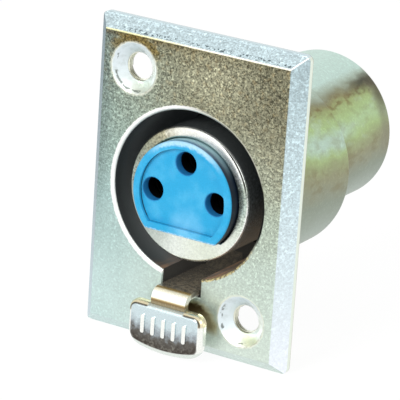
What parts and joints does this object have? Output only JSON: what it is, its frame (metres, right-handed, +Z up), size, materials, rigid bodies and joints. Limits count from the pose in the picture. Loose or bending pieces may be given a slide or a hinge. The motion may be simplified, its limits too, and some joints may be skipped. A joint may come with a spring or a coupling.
{
  "type": "xlr panel socket",
  "caption": "Female XLR panel socket with a bevelled rectangular flange, a stepped barrel, a blue insert in a bright nose sleeve and a sprung push latch",
  "frame": {"origin": "on the plug's axis, in the plane of the flange's front face", "axes": "+X to the right seen from the front, +Y into the panel along the plug's axis, +Z up, with the latch tab at the bottom as in the picture"},
  "size_m": [0.0264, 0.0355, 0.0364],
  "materials": {
    "shell_casting": "bead-blasted satin nickel plating on a zinc casting",
    "bright_plating": "bright nickel plating",
    "black_rubber": "dull black rubber",
    "blue_moulding": "satin bright blue moulding",
    "silvered_brass": "silver-plated brass",
    "spring_steel": "plain spring steel",
    "plated_sheet": "plated pressed sheet steel"
  },
  "bodies": {
    "socket": {"flange_housing": "shell_casting", "nose_sleeve": "bright_plating", "cushion_ring": "black_rubber", "front_insert": "blue_moulding", "rear_insert": "blue_moulding", "contact_1": "silvered_brass", "contact_2": "silvered_brass", "contact_3": "silvered_brass", "retaining_ring": "spring_steel", "ground_terminal": "silvered_brass", "latch_pin": "spring_steel", "latch_spring": "spring_steel"},
    "lever": {"latch_lever": "plated_sheet"}
  },
  "joints": [
    {"name": "latch_pivot", "type": "hinge", "parent": "socket", "child": "lever", "pos_m": [0, 0.0055, -0.0123], "axis": [-1, 0, 0], "range_deg": [0, 10], "stiffness_Nm_per_rad": 0.08, "springref_deg": -5.73, "deforming": ["latch_spring"]}
  ]
}
